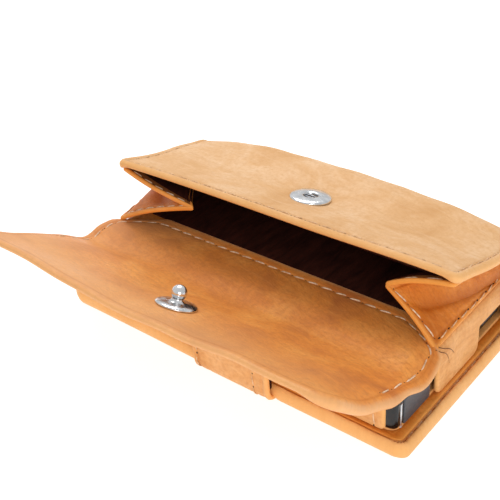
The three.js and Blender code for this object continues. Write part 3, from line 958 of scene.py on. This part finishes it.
def lining_sheet(name, size, surface, body, node_name):
    """A thin suede lining, built at the size that it was cut to."""
    cut = Cut(size, 1.5, surface, rounded_edge(0.25), under_face(0.25), (0, 0.08, 0.2, 0.35, 0.8, 1.4), 2.0)
    piece = finish_piece(cut.build(name, [LINING], shift=(0, 700)), body, "dark_lining", node_name)


# ---- coin pocket panel ----
FACE_PATH = run_on(through([(-8, 37.4), (2, 34.1), (12, 31.5), (22, 30.3), (29, 29.5), (33, 26.6),
                            (34.1, 20.6), (34.2, 17.9)]))


def face_at(s):
    points, run, _ = FACE_PATH
    return on_line(s, run, points).T


def pillow(u, y):
    """How far the stuffed panel stands over its frame line: a long crown that grows to the back, drooping
    side edges, and a dimple where the snap pulls it down."""
    crown = 1.5 + 1.7 * smooth(y, 8, 27) - 2.6 * smooth(y, 29, 34.5) - 0.8 * smooth(-y, 4, 8)
    share = np.abs((u + 4 * smooth(y, 0, 28)) / 57)
    level = (crown * (1 - share ** 2.6) - (0.1 + 1.5 * smooth(y, 14, 30)) * np.abs(u / 55.5) ** 5
             + smooth(u, 10, 55) * (1 - smooth(y, 0, 18)) - 0.8 * smooth(-u, 22, 50) * smooth(y, 14, 28))
    pull = np.exp(-((u / 11) ** 2 + ((y - SNAP_Y) / 7.5) ** 2) ** 1.2)
    ripple = 0.09 * np.sin(0.17 * u + 0.35 * y) * np.sin(0.11 * y + 1) + 0.08 * np.sin(0.41 * u - 0.2 * y)
    return level * (1 - pull) + ripple * (1 - pull) * smooth(y, -8, 0)


def make_panel():
    length = FACE_PATH[2]
    width = PANEL_HIGH[0] - PANEL_LOW[0]
    plain = along_x(FACE_PATH)

    def surface(u, v):
        return plain(u, v) + facing(plain, u, v) * pillow(u, face_at(v + length / 2)[0])[:, None]

    face = sewn_face(0.001, 0.3, 0.28)

    def top(d, u, v):
        edge = 0.95 * (quarter(d) - 1)
        return edge + face(d, u, v) * (1 - smooth(v, length / 2 - 7, length / 2 - 3))

    def bottom(d, u, v):
        thick = 1.3 + (0.35 + 0.9 * smooth(np.abs(u), 51, 54.5)) * np.exp(-(d / 2.6) ** 2)
        return -0.95 - (thick - 0.95) * quarter(d / 1.1)

    panel = Cut((width, length), 2.8, surface, top, bottom, step=1.5)
    finish_piece(panel.build("pocket_front_panel", [PALE, FLESH], shift=(0, 120), wrap=4.0), "pocket_panel",
                 "pale_tan_leather", "panel_leather")
    x, y = width / 2 - SEAM_INSET, length / 2 - SEAM_INSET
    stitches("pocket_panel_stitching", *line_on(panel, (-x, y - 4), (-x, -y), (x, -y), (x, y - 4)),
             "pocket_panel", PALE_THREAD, 0.46)

    def lining_surface(u, v):
        base = plain(u, v)
        lift = np.minimum(pillow(u, base[:, 1]), 0)
        return base + facing(plain, u, v) * (lift - 2.1)[:, None]

    lining_sheet("pocket_panel_suede", (102, length * 0.82), lining_surface, "pocket_panel", "panel_lining")
    low, high = box_mm("pocket_back_lining")
    mouth = -4.2
    lining_sheet("pocket_back_suede", (96, high[1] - mouth),
                 flat_surface((0, (high[1] + mouth) / 2, low[2] + 0.22), *LEVEL), "holder",
                 "pocket_back_lining")


# ---- gussets ----
GUSSETS = {
    "right": dict(side=1, stand=0.0, swell=1.3, seam_x=52.6, foot_z=(18.3, 19.8), head_z=35.0, fold_line=[
        (37.2, -10.5, 30.5), (41.0, -6.5, 31.7), (45.4, -1.0, 31.6), (47.8, 7, 29.2), (49.5, 27, 24.2)]),
    "left": dict(side=-1, stand=2.0, swell=-0.9, seam_x=53.4, foot_z=(19.6, 23.6), head_z=34.6, fold_line=[
        (-23.6, -10.5, 32.0), (-29.0, -5, 31.7), (-37.0, 6, 30.2), (-47.5, 27, 26.5)]),
}


def between(first, last):
    """A straight line from one point to another, by share."""
    first, last = np.array(first, float), np.array(last, float)
    return lambda t: first + t[:, None] * (last - first)


def make_gusset(word, side, stand, swell, seam_x, foot_z, head_z, fold_line):
    """Two leaves that meet in an inward fold. Each is ruled between its sewn edge and the fold, and
    swells a little between them."""
    length = 39.0
    fold_points = through(fold_line)
    fold_run = np.linspace(0, 1, len(fold_points))

    def fold(t):
        return on_line(t, fold_run, fold_points)

    foot = between((side * seam_x, -12.2, foot_z[0]), (side * seam_x, 28, foot_z[1]))
    _, back_z = face_at(np.array([FACE_PATH[2] * 0.66]))
    head = between((side * 54.2, -7.4, head_z), (side * 53.6, 28, float(back_z[0]) - 3.4))
    leaves = (
        ("lower", foot, 1, 1.1, [TAN, FLESH], f"gusset_{word}_lower"),
        ("upper", head, -1, -swell, [TAN, TAN, FLESH, LINING], f"gusset_{word}_upper"),
    )
    for kind, sewn, way, swell, materials, node_name in leaves:
        width = float(np.linalg.norm(sewn(np.zeros(1)) - fold(np.zeros(1))))

        def surface(u, v, sewn=sewn, width=width, way=way, swell=swell):
            a = 0.5 - side * u / width
            b = v / length + 0.5
            flat = sewn(b) * (1 - a)[:, None] + fold(b) * a[:, None]
            lift = swell * 4 * a * (1 - a) * (1 - 0.45 * b) + 0.5 * np.sin(5.5 * a + 4 * b) * a * (1 - a)
            valley = -1.5 * bump(a + 0.55 * b, 0.62, 0.14) * smooth(b, 0.02, 0.2) * (way > 0)
            upright = stand * smooth(b, 0, 0.35) * smooth(a, 0, 0.13) * (1 - smooth(a, 0.45, 1)) * (way > 0)
            flat[:, 2] += way * lift + valley + upright
            return flat

        face = sewn_face(0.6, 0.2, 0.12, 1.9)
        leaf = Cut((width, length), 1.4, surface, face, under_face(0.6), step=1.2)

        def sorter(d, p, lined=kind == "upper"):
            return np.where(p[:, 1] + length / 2 > 4.5, 3, np.where(d > 1.2, 2, 0)) * lined

        # Painted shade along the valley that the lower leaf sinks into, laid on each leaf.
        def shaded(u, v, width=width):
            a = 0.5 - side * u / width
            b = v / length + 0.5
            return 0.75 * bump(a + 0.55 * b, 0.62, 0.16) * smooth(b, 0.03, 0.22)

        piece = leaf.build(f"gusset_{word}_{kind}_leather", materials, sorter, (60 * side, 150 + 60 * way),
                           shaded=shaded)
        finish_piece(piece, node_name, "tan_leather", node_name)
        x, y = width / 2 - 1.9, length / 2 - 1.9
        reach = x if kind == "lower" else x - 1
        stitches(f"gusset_{word}_{kind}_stitching", *line_on(leaf, (reach, -y), (-reach, -y)), node_name,
                 THREAD, 0.38)
        if kind == "lower":
            x = side * (x + 0.5)
            row = line_on(leaf, (x, 3 - length / 2), (x, length / 2 - 5))
            stitches(f"gusset_{word}_foot_stitching", *row, node_name, PALE_THREAD, 0.4)


# ---- flap ----
FLAP_START = (-4.0, 20.0)
FLAP_SPLIT_Y = -19.2
FLAP_REACH = 38.6


def make_flap():
    """One hide from the pocket's mouth over the crease to a thick soft edge. It is cut in two at the
    middle of the root strip."""
    rise = np.array([-math.cos(FLAP_RISE), math.sin(FLAP_RISE)])
    end = CREASE + rise * FLAP_REACH
    path = rounded_path([FLAP_START, (-14.4, 19.65), CREASE, end], 3.2)
    points, run, length = path
    width = 110.4
    crease_at = length - FLAP_REACH
    main_start = crease_at + 2

    def surface(u, v):
        t = length / 2 - v
        y, z = on_line(t, run, points).T
        x = u * (1 - 0.2 * (1 - smooth(t, 1.0, 10.5))) + 0.5 * smooth(u, 30, 55) * bump(y, -18, 5.5)
        main = smooth(t, crease_at - 2, crease_at + 11)
        droop = (-4.2 * smooth(x, 49.0, 56.5) * bump(y, -20, 6.2)
                 - 3.0 * smooth(x, 43, 56) * main * (1 - 0.95 * smooth(t, crease_at + 20, crease_at + 37))
                 + 1.7 * smooth(x, 12, 38) * smooth(t, crease_at + 20, crease_at + 38))
        lift = (1.1 * smooth(-x, 36, 54) * bump(y, -18.5, 5.5)
                + smooth(-x, 8, 54) * (1.9 * main + 1.4 * smooth(t, crease_at + 26, crease_at + 38)))
        wave = (0.25 * np.sin(0.13 * x + 0.2 * t) + 0.18 * np.sin(0.29 * x - 0.12 * t)) * smooth(t, 9, 16)
        calm = 1 - np.exp(-((x / 10) ** 2 + ((t - crease_at - STUD_REACH) / 8) ** 2) ** 1.2)
        return np.stack([x, y, z + droop + lift + wave * calm], 1)

    def thickness(d, u, v):
        t = length / 2 - v
        root = 0.7 + 1.1 * smooth(t, 9.5, 12.5) - 0.5 * smooth(t, crease_at + 6, crease_at + 20)
        main = smooth(t, main_start, main_start + 9)
        bead = main * (0.1 + 1.6 * smooth(u, 46, 55))
        return root + 0.2 * main + bead * np.exp(-(d / 4.0) ** 2)

    def top(d, u, v):
        thick = thickness(0 * d, u, v)
        radius = 0.5 * thick + 0.2
        edge = 0.48 * thick * (quarter(d / radius) - 1)
        sewn = 1 - smooth(length / 2 - v, crease_at + 8, crease_at + 16)
        return edge - 0.28 * sewn * bump(d, 2.9, 0.5)

    def bottom(d, u, v):
        edge_thick = thickness(0 * d, u, v)
        low = 0.48 * edge_thick
        return -low - (thickness(d, u, v) - low) * quarter(d / (0.5 * edge_thick + 0.2))

    rings = (0, 0.05, 0.18, 0.4, 0.7, 1.1, 1.6, 2.1, 2.5, 2.7, 2.9, 3.1, 3.4, 4.0, 5.0, 6.2)
    flap = Cut((width, length), 6.0, surface, top, bottom, rings, 1.5)

    # Painted light: a slight even lightening of the whole flap, growing towards its free edge and its left
    # end, where its curve catches the light.
    def painted_light(u, v):
        far = smooth(length / 2 - v, crease_at + 8, length) * (1 - 0.6 * smooth(u, 0, 55))
        return 0.15 + 0.45 * np.clip(far + 0.6 * smooth(-u, 15, 55), 0, 1)

    hinge_bend = ("holder", "flap_root", (0, -12.6, 19.6), (0, -16.4, 19.4))
    main_bend = ("flap_root", "flap", (0, -21.2, 19.3), (0, -27.0, 20.3))
    for name, keep, bend, nodes in (
            ("flap_hinge_leather", 1, hinge_bend, ("flap_root",)),
            ("flap_leather", -1, main_bend, ("flap_inner_leather", "flap_outer_leather"))):
        piece = flap.build(name, [FLAP_TAN, COVER], shift=(0, 260), wrap=3.0, painted_light=painted_light)
        cut_across(piece, FLAP_SPLIT_Y, keep)
        finish_piece(piece, bend, "tan_leather", *nodes)

    inset = 2.9
    loop = outline(width - 2 * inset, length - 2 * inset, 6 - inset, 160, 90)
    loop = np.concatenate([loop, loop[:1]])
    sewn, normals = flap.at(*loop.T)
    hinge = sewn[:, 1] > FLAP_SPLIT_Y
    near = ~hinge & (sewn[:, 1] > -36)
    for name, chosen, bend in (("flap_hinge_stitching", hinge, hinge_bend),
                               ("flap_left_stitching", near & (sewn[:, 0] < 0), main_bend),
                               ("flap_right_stitching", near & (sewn[:, 0] > 0), main_bend)):
        start = int(np.flatnonzero(chosen & ~np.roll(chosen, 1))[0])
        order = (start + np.arange(len(chosen))) % len(chosen)
        order = order[chosen[order]]
        stitches(name, sewn[order], normals[order], bend)
    return rise


def make_thread_tails():
    """Two loose waxed tails of the gusset's seam: curves through a few points by the right end wall."""
    plain = (np.zeros(3), np.eye(3))
    tails = (
        [(53.0, -12.6, 19.3), (53.9, -11.6, 18.4), (54.35, -9.6, 16.8), (54.45, -8.4, 14.6),
         (54.4, -7.8, 12.6)],
        [(53.2, -11.6, 19.5), (54.0, -10.2, 18.6), (54.4, -7.6, 16.9), (54.45, -5.6, 14.4)])
    for number, points in enumerate(tails, 1):
        tail = tube(f"gusset_thread_tail_{number}", through(points, 6), 0.14, plain, TAIL, 6)
        finish_piece(tail, "holder", "tan_leather")


def cut_across(piece, y, keep):
    """Keeps the part of a closed mesh in front of (-1) or behind (1) a plane across Y, and closes it.
    Its faces keep the shading of the whole, so that the two parts meet without a line."""
    mesh = piece.data
    whole = np.zeros(len(mesh.vertices) * 3, np.float32)
    mesh.vertices.foreach_get("normal", whole)
    carried = mesh.attributes.new("whole", "FLOAT_VECTOR", "POINT")
    carried.data.foreach_set("vector", whole)
    shell = bmesh.new()
    shell.from_mesh(piece.data)
    everything = shell.verts[:] + shell.edges[:] + shell.faces[:]
    made = bmesh.ops.bisect_plane(shell, geom=everything, plane_co=(0, y * MM, 0), plane_no=(0, 1, 0),
                                  clear_outer=keep < 0, clear_inner=keep > 0)
    rim = [e for e in made["geom_cut"] if isinstance(e, bmesh.types.BMEdge)]
    lids = bmesh.ops.edgeloop_fill(shell, edges=rim)["faces"]
    for lid in lids:
        lid.smooth = False
    shell.to_mesh(mesh)
    shell.free()
    whole = np.zeros(len(mesh.vertices) * 3, np.float32)
    mesh.attributes["whole"].data.foreach_get("vector", whole)
    corners = np.zeros(len(mesh.loops), np.int32)
    mesh.loops.foreach_get("vertex_index", corners)
    normals = whole.reshape(-1, 3)[corners]
    lid = next(f for f in mesh.polygons if not f.use_smooth)
    normals[list(lid.loop_indices)] = lid.normal
    mesh.normals_split_custom_set(normals.tolist())
    mesh.attributes.remove(mesh.attributes["whole"])


# ---- press stud ----
def snap_frame():
    """Centre and axes of the socket on the panel's face: along X, up the face, and out of it."""
    points, run, _ = FACE_PATH
    s = np.interp(SNAP_Y, points[:, 0], run)
    ahead = unit(face_at(s + 0.3) - face_at(s - 0.3))
    y, z = face_at(s)
    return np.array([0, y, z]), np.array([[1, 0, 0], [0, *ahead], [0, -ahead[1], ahead[0]]])


def stud_frame(rise):
    y, z = CREASE + rise * STUD_REACH
    out = np.array([rise[1], -rise[0]])
    return np.array([0, y, z]), np.array([[1, 0, 0], [0, *-rise], [0, *out]])


def make_snap(rise):
    place = snap_frame()
    socket = [(0, -1.5), (3.3, -1.5), (3.3, 0.25), (5.3, 0.25), (5.75, 0.4), (5.9, 0.75), (5.8, 1.1),
              (5.45, 1.3), (4.6, 1.42), (3.4, 1.52), (2.55, 1.56), (2.2, 1.5), (2.05, 1.3), (2.05, 0.7),
              (2.05, -0.9), (0, -0.9)]
    # The well is a near-black disc, painted shade for the hollow inside the socket.
    well = [(0, -0.88), (2.0, -0.88), (2.0, -0.2), (1.9, -0.15), (0.0, -0.1)]
    for name, profile, material, node_name in (("press_stud_socket", socket, NICKEL, "snap_socket"),
                                               ("press_stud_well", well, HOLE_SHADE, "snap_spring")):
        finish_piece(turned(name, profile, place, material), "pocket_panel", "bright_metal", node_name)
    x = np.linspace(-1.9, 1.9, 24)
    for number, way in enumerate((1, -1), 1):
        wire = np.stack([x, way * (0.75 - 0.12 * x ** 2), np.full(24, 0.95)], 1)
        finish_piece(tube(f"press_stud_spring_{number}", wire, 0.28, place, SPRING), "pocket_panel",
                     "bright_metal")
    place = stud_frame(rise)
    base = [(0, -0.6), (1.5, -0.6), (1.5, 0.02), (5.0, 0.02), (5.35, 0.2), (5.3, 0.5), (4.9, 0.75),
            (3.6, 0.95), (2.2, 1.05), (1.75, 1.25), (1.5, 1.7), (1.42, 2.15)]
    ball = [(1.95 * math.cos(a), 3.4 + 1.95 * math.sin(a)) for a in np.radians(np.linspace(-42, 84, 16))]
    stud = base + ball + [(0, 5.36)]
    finish_piece(turned("press_stud_post", stud, place, NICKEL), "flap", "bright_metal", "snap_stud")
    for node_name in ("snap_washer", "snap_stud_cap"):
        frame["nodes"][node_name].data.materials.clear()
        frame["nodes"][node_name].data.materials.append(NICKEL)


# ---- the soft pocket pieces ----
def press_panel():
    """Gives each piece of the pocket panel and the gussets that is stitching or stands for CAD nodes a mesh
    of its own.
    """
    soft = ("gusset_", "pocket_front", "pocket_panel")
    for piece in bpy.data.objects:
        sewn = piece.name.endswith("_stitching") or "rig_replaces" in piece
        if piece.name.startswith(soft) and sewn:
            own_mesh(piece)


# ---- the whole case ----
add_camera()
add_floor()
add_studio()
make_cover()
make_strap()
make_spine()
make_holder()
make_panel()
for gusset_word, gusset in GUSSETS.items():
    make_gusset(gusset_word, **gusset)
make_snap(make_flap())
make_thread_tails()
press_panel()
